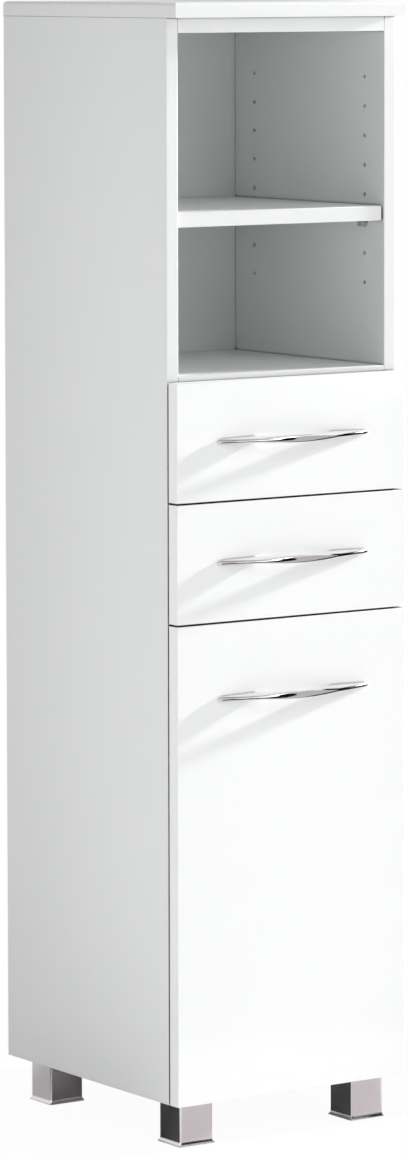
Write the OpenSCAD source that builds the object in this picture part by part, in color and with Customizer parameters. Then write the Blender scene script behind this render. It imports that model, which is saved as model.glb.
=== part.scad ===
// Mid-height bathroom cabinet: an open compartment over two drawers and a cupboard, on square feet.
// X runs to the right as seen from the front, Y runs from the front to the back, Z runs up.
// The origin is on the floor, in the middle of the cabinet with its handles.

/* [Cabinet] */
// Width over the side panels
cabinet_w = 300; // [290:1:450]
// Height from the floor to the top face
cabinet_h = 1220; // [1180:1:1400]
// Depth of the side panels
carcass_d = 318; // [306:1:420]
// Thickness of the side panels
side_t = 15; // [15:1:19]
// Thickness of the level boards
board_t = 16; // [15:1:19]
// Radius of the rounded upper edges of the top panel
top_edge_r = 4; // [1:0.5:7]
// Thickness of the back panel
back_t = 4; // [3:0.5:6]
// Distance from the rear edges to the rear face of the back panel
back_inset = 32; // [28:1:40]
// Depth of the grooves that hold the back panel
groove_d = 6; // [4:0.5:8]

/* [Open compartment and shelves] */
// Clear height of the open compartment
niche_h = 362; // [340:1:420]
// Distance from the top of the compartment to its uppermost pin holes
hole_top = 50; // [30:1:60]
// Number of pin holes in each row of the compartment
niche_holes = 8; // [7:1:9]
// Hole that carries the open shelf, counted from the top, the uppermost being 0
shelf_hole = 5; // [1:1:6]
// Distance from the front edges to the front rows of pin holes
row_front = 36; // [30:1:45]
// Distance from the front edges to the back rows of pin holes
row_back = 244; // [200:1:250]
// Number of pin holes in each row of the cupboard
cupboard_holes = 7; // [3:1:8]
// Height of the lowest cupboard holes above the bottom panel
cupboard_hole_base = 146; // [120:1:160]
// Hole that carries the cupboard shelf, counted from the lowest one, which is 0
cupboard_shelf_hole = 3; // [1:1:3]

/* [Fronts] */
// Height of a drawer front
drawer_front_h = 127; // [122:1:145]
// Thickness of the fronts
front_t = 16; // [16:1:19]
// Gap between two neighbouring fronts
front_gap = 2; // [1.5:0.5:4]
// Air between the carcass and the closed fronts
front_air = 2; // [1.5:0.5:3]
// Distance of each front's side edge from the outer face of the side panel
front_inset = 0.5; // [0:0.5:3]
// Strip of the compartment floor left bare above the upper drawer front
floor_reveal = 6; // [4:1:9]

/* [Feet] */
// Width of a foot
foot_w = 42; // [36:1:50]
// Depth of a foot
foot_d = 40; // [36:1:50]
// Height of the feet
foot_h = 48; // [40:1:70]
// Distance of the feet from the outer faces of the side panels
foot_side_inset = 16; // [12:1:30]
// Distance of the front feet from the front edges of the side panels
foot_front_inset = 1; // [0:1:8]
// Distance of the back feet from the rear edges of the side panels
foot_back_inset = 23; // [10:1:28]
// Amount by which the base of a foot flares out on each side
foot_flare = 2; // [1:0.5:4]

/* [Handles] */
// Length of a handle
handle_len = 195; // [180:1:230]
// Distance from the front face to the outermost line of a handle
handle_reach = 24; // [22:1:35]
// Thickness of the grip in the middle
grip_t = 5; // [4:0.5:7]
// Height of a handle in the middle
grip_h = 8.5; // [7:0.5:12]
// Height of a handle at its ends
grip_end_h = 5; // [4.5:0.5:6]
// Distance between the two screws of a handle
handle_screws_c = 128; // [112:16:160]
// Distance from the upper edge of the door to its handle
door_handle_drop = 80; // [60:1:140]

/* [Drawers] */
// Length of the drawer sides and the runners
drawer_d = 250; // [230:1:256]
// Height of the drawer sides
drawer_side_h = 90; // [75:1:94]
// Thickness of the drawer sides and the drawer back
drawer_side_t = 12; // [12:1:15]
// Thickness of the drawer bottom
drawer_bottom_t = 3; // [3:0.5:5]
// Height of the drawer box above the lower edge of its front
drawer_lift = 16; // [14:1:18]
// Space for the runners between a side panel and the drawer box
runner_space = 12.5; // [12.5:0.5:14]
// Radius of the rollers
roller_r = 7.5; // [7:0.1:7.5]

/* [Hinges] */
// Radius of a hinge cup
cup_r = 17.5; // [17.5:0.1:17.8]
// Depth of a hinge cup in the door
cup_depth = 11.5; // [11.5:0.1:12.5]
// Distance from the door's edge to the middle of the cups
cup_edge = 22.5; // [22:0.5:23.5]
// Distance from the door's upper and lower edges to the hinges
hinge_inset = 95; // [80:1:110]

/* [Hidden] */
$fn = 48;

// Clearances: a cutter's overshoot, a snug seat, a running fit on a pin, and a loose groove or pocket
over = 1;
snug = 0.05;
running = 0.05;
loose = 0.2;

// Places of the carcass in the frame: its front plane is carcass_y, and in_carcass() moves it to Y = 0
total_d = carcass_d + front_air + front_t + handle_reach;
carcass_y = handle_reach + front_t + front_air - total_d / 2;
inner_w = cabinet_w - 2 * side_t;
inner_d = carcass_d - back_inset - back_t;
front_face_y = -front_air - front_t;

// Heights
carcass_top_z = cabinet_h - board_t;
carcass_h = carcass_top_z - foot_h;
niche_top_z = carcass_top_z - board_t;
niche_floor_z = niche_top_z - niche_h;
upper_front_z = niche_floor_z - floor_reveal - drawer_front_h;
lower_front_z = upper_front_z - front_gap - drawer_front_h;
door_z = foot_h;
door_h = lower_front_z - front_gap - door_z;
divider_z = lower_front_z - front_gap / 2 - board_t / 2;
cupboard_floor_z = foot_h + board_t;
front_w = cabinet_w - 2 * front_inset;

// Pin holes and pins
hole_pitch = 32;
pin_r = 2.5;
pin_depth = 8;
pin_hole_depth = 9;
pin_rise = 5;
pin_head = [7, 8];
shelf_air = 1;
niche_hole_z = [for (i = [0 : niche_holes - 1]) niche_top_z - hole_top - i * hole_pitch];
cupboard_hole_z = [for (i = [0 : cupboard_holes - 1])
    cupboard_floor_z + cupboard_hole_base + i * hole_pitch];
open_shelf_z = niche_hole_z[shelf_hole] + pin_rise;
cupboard_shelf_z = cupboard_hole_z[cupboard_shelf_hole] + pin_rise;
open_shelf_setback = 3;
cupboard_shelf_setback = 24;

// Level boards: lower face, depth, and whether the cam locks go in from above
level_boards = [
    [carcass_top_z - board_t, carcass_d, true],
    [niche_floor_z - board_t, inner_d, false],
    [divider_z, inner_d, true],
    [foot_h, carcass_d, false]
];
fitting_inset = 50;
dowel_step = 32;
fitting_y = [fitting_inset, inner_d - fitting_inset];
dowel_y = [fitting_inset + dowel_step, inner_d - fitting_inset - dowel_step];
cam_r = 7.5;
cam_reach = 24;
cam_cavity_r = 4;
cam_skin = 0.6;
cam_h = board_t / 2 + cam_cavity_r + cam_skin;
cam_slot = [9, 1.6, 1.5];
bolt_thread_r = 3;
bolt_shaft_r = 3.4;
bolt_neck_r = 2;
bolt_head_t = 3;
fitting_depth = 11;
dowel_r = 4;
dowel_reach = 19;

// Top screws
top_screw_r = 2;
top_screw_head_r = 4;
top_screw_bite = 10;
top_screw_inset_x = 55;
top_screw_inset_y = 70;
top_screw_x = inner_w / 2 - top_screw_inset_x;
top_screw_y = [top_screw_inset_y, carcass_d - top_screw_inset_y];

// Euro screws: thread, head and the sink of the thread under the piece that it holds
euro_r = 2.5;
euro_head_r = 3.6;
euro_head_t = 1;
euro_len = 12;
euro_hole_depth = 11;
hinge_screw_y = 37;

// Feet
foot_wall = 1.5;
foot_plate_t = 3;
foot_lift = 0.5;
flare_h = 4;
flare_foot_t = 0.8;
pad_t = 4;
foot_bolt_r = 4;
foot_bolt_head_r = 6.5;
foot_bolt_head_t = 5;
foot_bolt_bite = 12;
foot_x = cabinet_w / 2 - foot_side_inset - foot_w / 2;
foot_front_y = foot_front_inset + foot_d / 2;
foot_back_y = carcass_d - foot_back_inset - foot_d / 2;

// Wall bracket, and the hole in the back panel through which its wall screw is driven
bracket_t = 2;
bracket_leg_y = 26;
bracket_leg_z = 42;
bracket_w = 50;
bracket_screw_x = 14;
bracket_hole_r = 3.25;
bracket_hole_drop = 28;
bracket_hole_z = niche_top_z - bracket_hole_drop;
bracket_screw_y = carcass_d - bracket_leg_y / 2 - bracket_t / 2;
access_r = 6;

// Runners: sheet, clearances of the rollers, and the heights measured from the foot of a drawer box
sheet_t = 1.2;
rail_web_h = 30;
roller_air = 0.1;
channel_air = 0.3;
roller_drop = 2.5;
roller_w = 6;
axle_r = 2;
axle_head_r = 3.2;
axle_head_t = 0.5;
axle_collar_r = 3.5;
lip_w = 7.7;
track_w = 9.6;
channel_lip_w = 7;
rear_roller_x = 3.2;
front_roller_x = 2.2;
front_roller_y = 12;
rear_roller_inset = 10;
channel_lip_start = 26;
runner_start = 2;
runner_screw_y = [37, 165, 229];
drawer_end_y = drawer_d - front_air;
rear_roller_y = drawer_end_y - rear_roller_inset;
box_w = inner_w - 2 * runner_space;

// Drawer joints
drawer_groove_z = 10;
drawer_groove_d = 6;
drawer_dowel_r = 3;
drawer_dowel_in_front = 8;
drawer_dowel_in_side = 12;
drawer_dowel_across = 7;
drawer_dowel_low = 24;
drawer_dowel_drop = 22;
drawer_dowel_z = [drawer_dowel_low, drawer_side_h - drawer_dowel_drop];

// Handles
handle_screw_r = 2;
handle_screw_head_r = 4;
handle_screw_head_t = 2.5;
handle_bite = 7;
handle_end_t = 3;
handle_foot_in = 50;
lens_steps = 12;

// Hinges: every place is measured from the door's hinge edge and its back face
door_edge_x = front_w / 2;
hinge_z = [door_z + hinge_inset, door_z + door_h - hinge_inset];
cup_wall = 1.2;
cup_x = door_edge_x - cup_edge;
arm_pivot_in = 31;
arm_pivot_behind = 1;
cup_pivot_in = 11;
cup_pivot_sink = 6;
arm_pivot = [door_edge_x - arm_pivot_in, arm_pivot_behind - front_air];
cup_pivot = [door_edge_x - cup_pivot_in, -cup_pivot_sink - front_air];
pivot_r = 1.25;
link_bulge = 4.5;
link_t = 2.5;
link_h = 6;
link_eye_r = 2.6;
cheek_air = 0.3;
cheek_t = 2.4;
arm_nose_r = 3.5;
arm_top = 16.5;
plate_t = 2;
rib_t = 3;
rib_h = 10;
arm_y = [6, 60];
fork_end_y = arm_y[0] - 1;
rib_start_y = 22;
plate_wing = 16;
cup_lug_w = 4;
cup_lug_t = 2;
flange_t = 1;
flange_w = 12;
flange_screw_z = 24;
flange_offset = 9.5;
cup_screw_r = 1.75;
cup_screw_head_r = 3.3;
cup_screw_len = 12;

// Bumpers
bumper_r = 4;
bumper_air = 0.1;
bumper_inset = 25;

module in_carcass() {
    translate([0, carcass_y, 0]) children();
}

module both_sides() {
    children();
    mirror([1, 0, 0]) children();
}

// A round bar along +X or along +Y from a given point
module bar_x(at, r, len) {
    translate(at) rotate([0, 90, 0]) cylinder(r = r, h = len);
}

module bar_y(at, r, len) {
    translate(at) rotate([-90, 0, 0]) cylinder(r = r, h = len);
}

// A block of a given size, centred in Z and starting at a given point in X and Y
module block_z(at, size) {
    translate([at[0], at[1], at[2] - size[2] / 2]) cube(size);
}

// Side panels
module side_panel() {
    face_x = -inner_w / 2;
    difference() {
        translate([-cabinet_w / 2, 0, foot_h]) cube([side_t, carcass_d, carcass_h]);
        translate([face_x - groove_d, inner_d - loose / 2, foot_h - over])
            cube([groove_d + over, back_t + loose, carcass_h + 2 * over]);
        for (z = concat(niche_hole_z, cupboard_hole_z), y = [row_front, row_back])
            bar_x([face_x - pin_hole_depth, y, z], pin_r, pin_hole_depth + over);
        for (board = level_boards, y = fitting_y)
            bar_x([face_x - fitting_depth, y, board[0] + board_t / 2], bolt_thread_r, fitting_depth + over);
        for (board = level_boards, y = dowel_y)
            bar_x([face_x - fitting_depth, y, board[0] + board_t / 2], dowel_r, fitting_depth + over);
        for (z = [upper_front_z, lower_front_z], y = runner_screw_y)
            bar_x([face_x - euro_hole_depth, y, runner_screw_z(z)], euro_r, euro_hole_depth + over);
    }
}

module side_panel_left() {
    color("white") in_carcass() side_panel();
}

module side_panel_right() {
    color("white") in_carcass() difference() {
        mirror([1, 0, 0]) side_panel();
        for (z = hinge_z, dz = [-hole_pitch / 2, hole_pitch / 2])
            bar_x([inner_w / 2 - over, hinge_screw_y, z + dz], euro_r, euro_hole_depth + over);
    }
}

// Top panel: its long edges and its front and back edges are rounded above
module rounded_top(w) {
    square([w, board_t - top_edge_r]);
    translate([top_edge_r, 0]) square([w - 2 * top_edge_r, board_t]);
    for (x = [top_edge_r, w - top_edge_r])
        translate([x, board_t - top_edge_r]) circle(r = top_edge_r);
}

module top_panel() {
    panel_d = carcass_d - front_face_y;
    color("white") in_carcass() difference() {
        translate([-cabinet_w / 2, front_face_y, carcass_top_z]) intersection() {
            translate([0, panel_d, 0]) rotate([90, 0, 0]) linear_extrude(panel_d) rounded_top(cabinet_w);
            rotate([90, 0, 90]) linear_extrude(cabinet_w) rounded_top(panel_d);
        }
        for (x = [-top_screw_x, top_screw_x], y = top_screw_y)
            translate([x, y, carcass_top_z - over])
                cylinder(r = top_screw_r, h = top_screw_bite + over + loose);
    }
}

// Level boards, with the bores of their cam locks, bolts and dowels
module level_board(board) {
    z = board[0];
    depth = board[1];
    cam_z = board[2] ? z + board_t - cam_h - loose : z - over;
    difference() {
        translate([-inner_w / 2, 0, z]) cube([inner_w, depth, board_t]);
        both_sides() for (y = fitting_y) {
            translate([cam_reach - inner_w / 2, y, cam_z])
                cylinder(r = cam_r + snug, h = cam_h + over + loose);
            bar_x([-inner_w / 2 - over, y, z + board_t / 2], cam_cavity_r, cam_reach + over);
        }
        both_sides() for (y = dowel_y)
            bar_x([-inner_w / 2 - over, y, z + board_t / 2], dowel_r, dowel_reach + over);
    }
}

// Groove across a board for the back panel, starting at a given height
module back_groove(z) {
    translate([-inner_w / 2 - over, inner_d - loose / 2, z])
        cube([inner_w + 2 * over, back_t + loose, groove_d + over]);
}

module carcass_top() {
    color("white") in_carcass() difference() {
        level_board(level_boards[0]);
        back_groove(niche_top_z - over);
        for (x = [-top_screw_x, top_screw_x], y = top_screw_y) {
            translate([x, y, niche_top_z - over]) cylinder(r = top_screw_r, h = board_t + 2 * over);
            translate([x, y, niche_top_z]) cylinder(r1 = top_screw_head_r, r2 = 0, h = top_screw_head_r);
        }
        for (x = [-bracket_screw_x, bracket_screw_x])
            translate([x, bracket_screw_y, niche_top_z - over])
                cylinder(r = euro_r, h = euro_hole_depth + over);
    }
}

module compartment_floor() {
    color("white") in_carcass() level_board(level_boards[1]);
}

module drawer_divider() {
    color("white") in_carcass() level_board(level_boards[2]);
}

module bottom_panel() {
    color("white") in_carcass() difference() {
        level_board(level_boards[3]);
        back_groove(cupboard_floor_z - groove_d);
        for (x = [-foot_x, foot_x], y = [foot_front_y, foot_back_y])
            translate([x, y, foot_h - over]) cylinder(r = foot_bolt_r, h = foot_bolt_bite + over + loose);
    }
}

module back_panel() {
    panel_w = inner_w + 2 * groove_d - 2 * loose;
    panel_z = cupboard_floor_z - groove_d + loose;
    color("gainsboro") in_carcass() difference() {
        translate([-panel_w / 2, inner_d, panel_z])
            cube([panel_w, back_t, niche_top_z + groove_d - loose - panel_z]);
        bar_y([0, inner_d - over, bracket_hole_z], access_r, back_t + 2 * over);
    }
}

// Shelves and their pins
module shelf(z, setback) {
    shelf_w = inner_w - 2 * shelf_air;
    translate([-shelf_w / 2, setback, z]) cube([shelf_w, inner_d - setback - shelf_air, board_t]);
}

module open_shelf() {
    color("white") in_carcass() shelf(open_shelf_z, open_shelf_setback);
}

module cupboard_shelf() {
    color("white") in_carcass() shelf(cupboard_shelf_z, cupboard_shelf_setback);
}

module shelf_pins() {
    color("silver") in_carcass() both_sides()
        for (z = [open_shelf_z, cupboard_shelf_z], y = [row_front, row_back]) {
            bar_x([-inner_w / 2 - pin_depth, y, z - pin_rise], pin_r, pin_depth + over);
            translate([-inner_w / 2, y - pin_head[1] / 2, z - pin_rise - pin_r])
                cube([pin_head[0], pin_head[1], pin_rise + pin_r]);
        }
}

// Cam locks, cam bolts and dowels
module cam_locks() {
    color("silver") in_carcass() both_sides()
        for (board = level_boards, y = fitting_y) {
            middle_z = board[0] + board_t / 2;
            cam_z = board[2] ? board[0] + board_t - cam_h : board[0];
            slot_z = board[2] ? cam_z + cam_h - cam_slot[2] : cam_z - over;
            difference() {
                translate([cam_reach - inner_w / 2, y, cam_z]) cylinder(r = cam_r, h = cam_h);
                bar_x([-inner_w / 2, y, middle_z], cam_cavity_r, cam_reach + bolt_head_t);
                for (turn = [0, 90])
                    translate([cam_reach - inner_w / 2, y, slot_z]) rotate([0, 0, turn])
                        translate([-cam_slot[0] / 2, -cam_slot[1] / 2, 0])
                            cube([cam_slot[0], cam_slot[1], cam_slot[2] + over]);
            }
        }
}

module cam_bolts() {
    shaft_len = cam_reach - 2 * bolt_head_t;
    color("silver") in_carcass() both_sides()
        for (board = level_boards, y = fitting_y) {
            z = board[0] + board_t / 2;
            bar_x([-inner_w / 2 - fitting_depth, y, z], bolt_thread_r, fitting_depth);
            bar_x([-inner_w / 2, y, z], bolt_shaft_r, shaft_len);
            bar_x([-inner_w / 2, y, z], bolt_neck_r, cam_reach);
            bar_x([cam_reach - inner_w / 2 - bolt_head_t / 2, y, z], bolt_shaft_r, bolt_head_t);
        }
}

module dowels() {
    color("burlywood") in_carcass() both_sides()
        for (board = level_boards, y = dowel_y)
            bar_x([-inner_w / 2 - fitting_depth, y, board[0] + board_t / 2],
                  dowel_r, fitting_depth + dowel_reach);
}

module top_screws() {
    color("silver") in_carcass() for (x = [-top_screw_x, top_screw_x], y = top_screw_y) {
        translate([x, y, niche_top_z]) cylinder(r = top_screw_r, h = board_t + top_screw_bite);
        translate([x, y, niche_top_z]) cylinder(r1 = top_screw_head_r, r2 = 0, h = top_screw_head_r);
    }
}

// Feet: a closed square shell with a flared base
module foot(x, y) {
    color("lightgray") in_carcass() translate([x, y, 0]) difference() {
        union() {
            foot_slab(0, foot_lift, foot_h - foot_lift);
            hull() {
                foot_slab(foot_flare, foot_lift, flare_foot_t);
                foot_slab(0, foot_lift + flare_h, flare_foot_t);
            }
        }
        translate([foot_wall - foot_w / 2, foot_wall - foot_d / 2, foot_lift - over])
            cube([foot_w - 2 * foot_wall, foot_d - 2 * foot_wall,
                  foot_h - foot_plate_t - foot_lift + over]);
        translate([0, 0, foot_h - foot_plate_t - over])
            cylinder(r = foot_bolt_r + snug, h = foot_plate_t + 2 * over);
    }
}

module foot_slab(grow, z, t) {
    translate([-foot_w / 2 - grow, -foot_d / 2 - grow, z]) cube([foot_w + 2 * grow, foot_d + 2 * grow, t]);
}

module foot_front_left() {
    foot(-foot_x, foot_front_y);
}

module foot_front_right() {
    foot(foot_x, foot_front_y);
}

module foot_back_left() {
    foot(-foot_x, foot_back_y);
}

module foot_back_right() {
    foot(foot_x, foot_back_y);
}

module foot_pads() {
    pad_w = foot_w - 2 * foot_wall - loose;
    pad_d = foot_d - 2 * foot_wall - loose;
    color("dimgray") in_carcass() for (x = [-foot_x, foot_x], y = [foot_front_y, foot_back_y])
        translate([x - pad_w / 2, y - pad_d / 2, 0]) cube([pad_w, pad_d, pad_t]);
}

module foot_bolts() {
    head_z = foot_h - foot_plate_t - foot_bolt_head_t;
    color("silver") in_carcass() for (x = [-foot_x, foot_x], y = [foot_front_y, foot_back_y])
        translate([x, y, head_z]) {
            cylinder(r = foot_bolt_head_r, h = foot_bolt_head_t);
            cylinder(r = foot_bolt_r, h = foot_bolt_head_t + foot_plate_t + foot_bolt_bite);
        }
}

// Wall bracket: an angle under the carcass top, behind the back panel, with a hole for a wall screw
module wall_bracket() {
    color("silver") in_carcass() difference() {
        union() {
            translate([-bracket_w / 2, carcass_d - bracket_leg_y, niche_top_z - bracket_t])
                cube([bracket_w, bracket_leg_y, bracket_t]);
            translate([-bracket_w / 2, carcass_d - bracket_t, niche_top_z - bracket_leg_z])
                cube([bracket_w, bracket_t, bracket_leg_z]);
        }
        bar_y([0, carcass_d - bracket_t - over, bracket_hole_z], bracket_hole_r, bracket_t + 2 * over);
        for (x = [-bracket_screw_x, bracket_screw_x])
            translate([x, bracket_screw_y, niche_top_z - bracket_t - over])
                cylinder(r = euro_r + snug, h = bracket_t + 2 * over);
    }
}

// Euro screws of the runners, the hinge plates and the wall bracket
module euro_screw(plate) {
    translate([0, 0, -euro_len + plate]) cylinder(r = euro_r, h = euro_len);
    translate([0, 0, plate]) cylinder(r = euro_head_r, h = euro_head_t);
}

module euro_screws() {
    color("silver") in_carcass() {
        both_sides() for (z = [upper_front_z, lower_front_z], y = runner_screw_y)
            translate([-inner_w / 2, y, runner_screw_z(z)]) rotate([0, 90, 0]) euro_screw(sheet_t);
        for (z = hinge_z, dz = [-hole_pitch / 2, hole_pitch / 2])
            translate([inner_w / 2, hinge_screw_y, z + dz]) rotate([0, -90, 0]) euro_screw(plate_t);
        for (x = [-bracket_screw_x, bracket_screw_x])
            translate([x, bracket_screw_y, niche_top_z]) rotate([180, 0, 0]) euro_screw(bracket_t);
    }
}

// Runners: heights follow from the lower edge of the drawer front
function box_z(front_z) = front_z + drawer_lift;
function lip_z(front_z) = box_z(front_z) + rail_web_h - 2 * sheet_t;
function front_roller_z(front_z) = lip_z(front_z) - roller_air - roller_r;
function rear_roller_z(front_z) = front_roller_z(front_z) - roller_drop;
function track_z(front_z) = rear_roller_z(front_z) - roller_r - roller_air;
function channel_z(front_z) = rear_roller_z(front_z) + roller_r + channel_air;
function runner_screw_z(front_z) = (track_z(front_z) + channel_z(front_z)) / 2;

// Runner on the left side panel: a channel that is open towards the drawer, and a stud for the front roller
module runner(front_z) {
    wall_x = -inner_w / 2;
    web_z = track_z(front_z) - sheet_t;
    end_y = drawer_end_y + runner_start;
    stud_len = front_roller_x + roller_w + snug;
    roller_y_z = [front_roller_y, front_roller_z(front_z)];
    color("whitesmoke") in_carcass() difference() {
        union() {
            translate([wall_x, runner_start, web_z])
                cube([sheet_t, end_y - runner_start, channel_z(front_z) + sheet_t - web_z]);
            translate([wall_x, runner_start, web_z]) cube([track_w, end_y - runner_start, sheet_t]);
            translate([wall_x, channel_lip_start, channel_z(front_z)])
                cube([channel_lip_w, end_y - channel_lip_start, sheet_t]);
            bar_x([wall_x, roller_y_z[0], roller_y_z[1]], axle_r, stud_len + axle_head_t);
            bar_x([wall_x, roller_y_z[0], roller_y_z[1]], axle_collar_r, front_roller_x - roller_air);
            bar_x([wall_x + stud_len + snug, roller_y_z[0], roller_y_z[1]], axle_head_r, axle_head_t);
        }
        for (y = runner_screw_y)
            bar_x([wall_x - over, y, runner_screw_z(front_z)], euro_r + snug, sheet_t + 2 * over);
    }
}

module upper_runner_left() {
    runner(upper_front_z);
}

module upper_runner_right() {
    mirror([1, 0, 0]) runner(upper_front_z);
}

module lower_runner_left() {
    runner(lower_front_z);
}

module lower_runner_right() {
    mirror([1, 0, 0]) runner(lower_front_z);
}

// Rail on the left drawer side: an angle under and beside it, a lip over the front roller, and a rear stud
module drawer_rail(front_z) {
    side_x = -box_w / 2;
    web_x = side_x - sheet_t;
    foot_z = box_z(front_z) - sheet_t;
    stud_x = -inner_w / 2 + rear_roller_x;
    roller_z = rear_roller_z(front_z);
    color("whitesmoke") in_carcass() {
        translate([web_x, 0, foot_z]) cube([sheet_t, drawer_end_y, rail_web_h]);
        translate([web_x, 0, foot_z]) cube([sheet_t + drawer_side_t, drawer_end_y, sheet_t]);
        translate([side_x - lip_w - sheet_t, 0, foot_z + rail_web_h - sheet_t])
            cube([lip_w + sheet_t, drawer_end_y, sheet_t]);
        bar_x([stud_x - axle_head_t, rear_roller_y, roller_z],
              axle_r, web_x - stud_x + axle_head_t + sheet_t);
        bar_x([stud_x - snug - axle_head_t, rear_roller_y, roller_z], axle_head_r, axle_head_t);
        bar_x([stud_x + roller_w + roller_air, rear_roller_y, roller_z], axle_collar_r,
              web_x - stud_x - roller_w - roller_air + sheet_t / 2);
    }
}

module upper_drawer_rail_left() {
    drawer_rail(upper_front_z);
}

module upper_drawer_rail_right() {
    mirror([1, 0, 0]) drawer_rail(upper_front_z);
}

module lower_drawer_rail_left() {
    drawer_rail(lower_front_z);
}

module lower_drawer_rail_right() {
    mirror([1, 0, 0]) drawer_rail(lower_front_z);
}

// A pair of rollers on studs of the left and right runner
module rollers(x, y, z) {
    color("white") in_carcass() both_sides() difference() {
        bar_x([x - inner_w / 2, y, z], roller_r, roller_w);
        bar_x([x - inner_w / 2 - over, y, z], axle_r + running, roller_w + 2 * over);
    }
}

module upper_front_rollers() {
    rollers(front_roller_x, front_roller_y, front_roller_z(upper_front_z));
}

module upper_rear_rollers() {
    rollers(rear_roller_x, rear_roller_y, rear_roller_z(upper_front_z));
}

module lower_front_rollers() {
    rollers(front_roller_x, front_roller_y, front_roller_z(lower_front_z));
}

module lower_rear_rollers() {
    rollers(rear_roller_x, rear_roller_y, rear_roller_z(lower_front_z));
}

// Drawer boxes
module bottom_groove(front_z, grow) {
    floor_w = box_w - 2 * drawer_side_t + 2 * drawer_groove_d - 2 * loose + 2 * grow;
    floor_d = drawer_end_y - drawer_side_t + 2 * drawer_groove_d + front_air - 2 * loose + 2 * grow;
    floor_y = -front_air - drawer_groove_d + loose - grow;
    translate([-floor_w / 2, floor_y, box_z(front_z) + drawer_groove_z - grow / 2])
        cube([floor_w, floor_d, drawer_bottom_t + grow]);
}

module handle_bores(z) {
    for (x = [-handle_screws_c / 2, handle_screws_c / 2])
        bar_y([x, front_face_y - over, z], handle_screw_r + loose, front_t + 2 * over);
}

module drawer_front(front_z) {
    color("white") in_carcass() difference() {
        translate([-front_w / 2, front_face_y, front_z]) cube([front_w, front_t, drawer_front_h]);
        bottom_groove(front_z, loose);
        handle_bores(front_z + drawer_front_h / 2);
        drawer_front_dowels(front_z);
    }
}

module drawer_side(front_z) {
    color("white") in_carcass() difference() {
        translate([-box_w / 2, -front_air, box_z(front_z)]) cube([drawer_side_t, drawer_d, drawer_side_h]);
        bottom_groove(front_z, loose);
        drawer_front_dowels(front_z);
        drawer_back_dowels(front_z);
    }
}

module drawer_back(front_z) {
    back_w = box_w - 2 * drawer_side_t;
    color("white") in_carcass() difference() {
        translate([-back_w / 2, drawer_end_y - drawer_side_t, box_z(front_z)])
            cube([back_w, drawer_side_t, drawer_side_h]);
        bottom_groove(front_z, loose);
        drawer_back_dowels(front_z);
    }
}

module drawer_bottom(front_z) {
    color("whitesmoke") in_carcass() bottom_groove(front_z, 0);
}

module drawer_front_dowels(front_z) {
    both_sides() for (z = drawer_dowel_z)
        bar_y([(drawer_side_t - box_w) / 2, -front_air - drawer_dowel_in_front, box_z(front_z) + z],
              drawer_dowel_r, drawer_dowel_in_front + drawer_dowel_in_side);
}

module drawer_back_dowels(front_z) {
    start_x = drawer_side_t - drawer_dowel_across - box_w / 2;
    both_sides() for (z = drawer_dowel_z)
        bar_x([start_x, drawer_end_y - drawer_side_t / 2, box_z(front_z) + z],
              drawer_dowel_r, drawer_dowel_in_front + drawer_dowel_in_side);
}

module drawer_dowels(front_z) {
    color("burlywood") in_carcass() {
        drawer_front_dowels(front_z);
        drawer_back_dowels(front_z);
    }
}

module upper_drawer_front() {
    drawer_front(upper_front_z);
}

module upper_drawer_side_left() {
    drawer_side(upper_front_z);
}

module upper_drawer_side_right() {
    mirror([1, 0, 0]) drawer_side(upper_front_z);
}

module upper_drawer_back() {
    drawer_back(upper_front_z);
}

module upper_drawer_bottom() {
    drawer_bottom(upper_front_z);
}

module upper_drawer_dowels() {
    drawer_dowels(upper_front_z);
}

module lower_drawer_front() {
    drawer_front(lower_front_z);
}

module lower_drawer_side_left() {
    drawer_side(lower_front_z);
}

module lower_drawer_side_right() {
    mirror([1, 0, 0]) drawer_side(lower_front_z);
}

module lower_drawer_back() {
    drawer_back(lower_front_z);
}

module lower_drawer_bottom() {
    drawer_bottom(lower_front_z);
}

module lower_drawer_dowels() {
    drawer_dowels(lower_front_z);
}

// Handles: a bow in plan, tapering to its ends in the front view
function arc_r(half_chord, sagitta) = (half_chord * half_chord + sagitta * sagitta) / (2 * sagitta);
function lens_h(x) = grip_end_h + (grip_h - grip_end_h) * (1 - pow(2 * x / handle_len, 2));

module bow_plan() {
    outer_r = arc_r(handle_len / 2, handle_reach - handle_end_t);
    inner_r = arc_r(handle_foot_in, handle_reach - grip_t);
    difference() {
        intersection() {
            translate([0, outer_r - handle_reach]) circle(r = outer_r, $fn = 240);
            translate([-handle_len / 2, -handle_reach]) square([handle_len, handle_reach]);
        }
        translate([0, inner_r - handle_reach + grip_t]) circle(r = inner_r, $fn = 180);
    }
}

module lens_front() {
    half = handle_len / 2;
    xs = [for (i = [-lens_steps : lens_steps]) half * i / lens_steps];
    upper = [for (x = xs) [x, lens_h(x) / 2]];
    lower = [for (x = xs) [-x, -lens_h(x) / 2]];
    polygon(concat(upper, lower));
}

module handle(z) {
    color("silver") in_carcass() translate([0, front_face_y, z]) difference() {
        intersection() {
            translate([0, 0, -grip_h]) linear_extrude(2 * grip_h) bow_plan();
            rotate([90, 0, 0]) translate([0, 0, -over])
                linear_extrude(handle_reach + 2 * over) lens_front();
        }
        for (x = [-handle_screws_c / 2, handle_screws_c / 2])
            bar_y([x, -handle_bite, 0], handle_screw_r, handle_bite + over);
    }
}

module handle_screw_pair(z) {
    color("silver") in_carcass() for (x = [-handle_screws_c / 2, handle_screws_c / 2]) {
        bar_y([x, front_face_y - handle_bite, z], handle_screw_r, handle_bite + front_t);
        bar_y([x, -front_air, z], handle_screw_head_r, handle_screw_head_t);
    }
}

door_handle_z = door_z + door_h - door_handle_drop;

module upper_handle() {
    handle(upper_front_z + drawer_front_h / 2);
}

module upper_handle_screws() {
    handle_screw_pair(upper_front_z + drawer_front_h / 2);
}

module lower_handle() {
    handle(lower_front_z + drawer_front_h / 2);
}

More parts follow.
